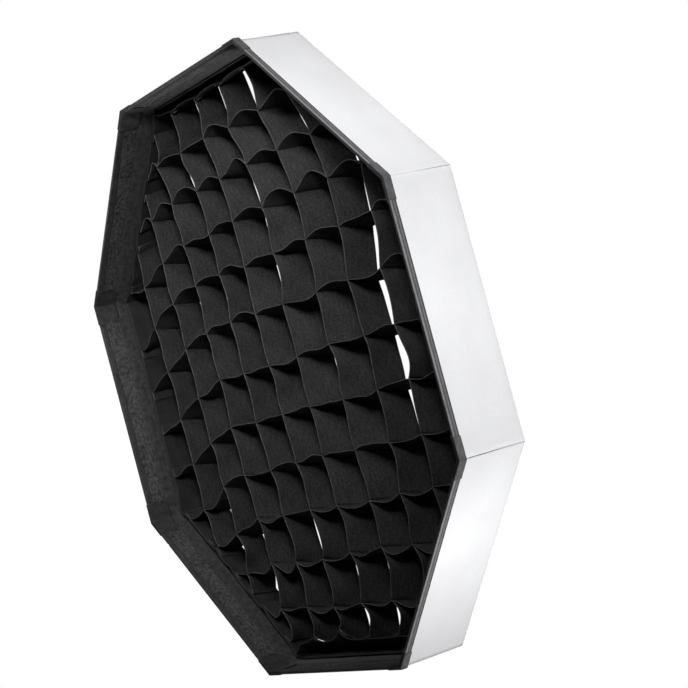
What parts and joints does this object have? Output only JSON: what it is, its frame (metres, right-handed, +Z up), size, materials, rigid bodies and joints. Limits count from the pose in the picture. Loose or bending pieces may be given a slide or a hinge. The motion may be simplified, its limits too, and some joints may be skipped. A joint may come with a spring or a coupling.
{
  "type": "honeycomb grid",
  "caption": "Octagonal fabric egg-crate grid that narrows the light of a softbox: cloth strips on edge, half-lapped into square cells, held by hook-and-loop tape inside a shallow lip.",
  "frame": {"origin": "centre of the lip's back plane, where it meets the softbox that holds it", "axes": "+Z up, +Y back into the softbox, so that the grid faces -Y; +X to the viewer's right"},
  "size_m": [0.6552, 0.0806, 0.6552],
  "materials": {
    "skin_cloth": "plain pale woven cloth, matt",
    "lining_cloth": "black woven nylon, matt",
    "binding_tape": "ribbed black binding tape with a slight sheen",
    "pocket_cloth": "doubled black nylon, stitched",
    "loop_tape": "black loop pile",
    "hook_tape": "black nylon hooks on tape",
    "band_webbing": "black ribbed webbing",
    "strip_cloth": "fine black woven nylon with a soft sheen and folded edges"
  },
  "bodies": {
    "rim": {"rim_skin_1": "skin_cloth", "rim_skin_2": "skin_cloth", "rim_skin_3": "skin_cloth", "rim_skin_4": "skin_cloth", "rim_skin_5": "skin_cloth", "rim_skin_6": "skin_cloth", "rim_skin_7": "skin_cloth", "rim_skin_8": "skin_cloth", "lip_lining_1": "lining_cloth", "lip_lining_2": "lining_cloth", "lip_lining_3": "lining_cloth", "lip_lining_4": "lining_cloth", "lip_lining_5": "lining_cloth", "lip_lining_6": "lining_cloth", "lip_lining_7": "lining_cloth", "lip_lining_8": "lining_cloth", "front_binding": "binding_tape", "corner_pocket_1": "pocket_cloth", "corner_pocket_2": "pocket_cloth", "corner_pocket_3": "pocket_cloth", "corner_pocket_4": "pocket_cloth", "corner_pocket_5": "pocket_cloth", "corner_pocket_6": "pocket_cloth", "corner_pocket_7": "pocket_cloth", "corner_pocket_8": "pocket_cloth", "loop_tape": "loop_tape"},
    "grid": {"hook_tape": "hook_tape", "border_band_1": "band_webbing", "border_band_2": "band_webbing", "border_band_3": "band_webbing", "border_band_4": "band_webbing", "border_band_5": "band_webbing", "border_band_6": "band_webbing", "border_band_7": "band_webbing", "border_band_8": "band_webbing", "vertical_strip_1": "strip_cloth", "vertical_strip_2": "strip_cloth", "vertical_strip_3": "strip_cloth", "vertical_strip_4": "strip_cloth", "vertical_strip_5": "strip_cloth", "vertical_strip_6": "strip_cloth", "vertical_strip_7": "strip_cloth", "vertical_strip_8": "strip_cloth", "vertical_strip_9": "strip_cloth", "vertical_strip_10": "strip_cloth", "horizontal_strip_1": "strip_cloth", "horizontal_strip_2": "strip_cloth", "horizontal_strip_3": "strip_cloth", "horizontal_strip_4": "strip_cloth", "horizontal_strip_5": "strip_cloth", "horizontal_strip_6": "strip_cloth", "horizontal_strip_7": "strip_cloth", "horizontal_strip_8": "strip_cloth", "horizontal_strip_9": "strip_cloth", "horizontal_strip_10": "strip_cloth", "horizontal_strip_11": "strip_cloth"}
  },
  "joints": [
    {"name": "grid_release", "type": "slide", "parent": "rim", "child": "grid", "axis": [0, -1, 0], "range_m": [0, 0.085]}
  ]
}
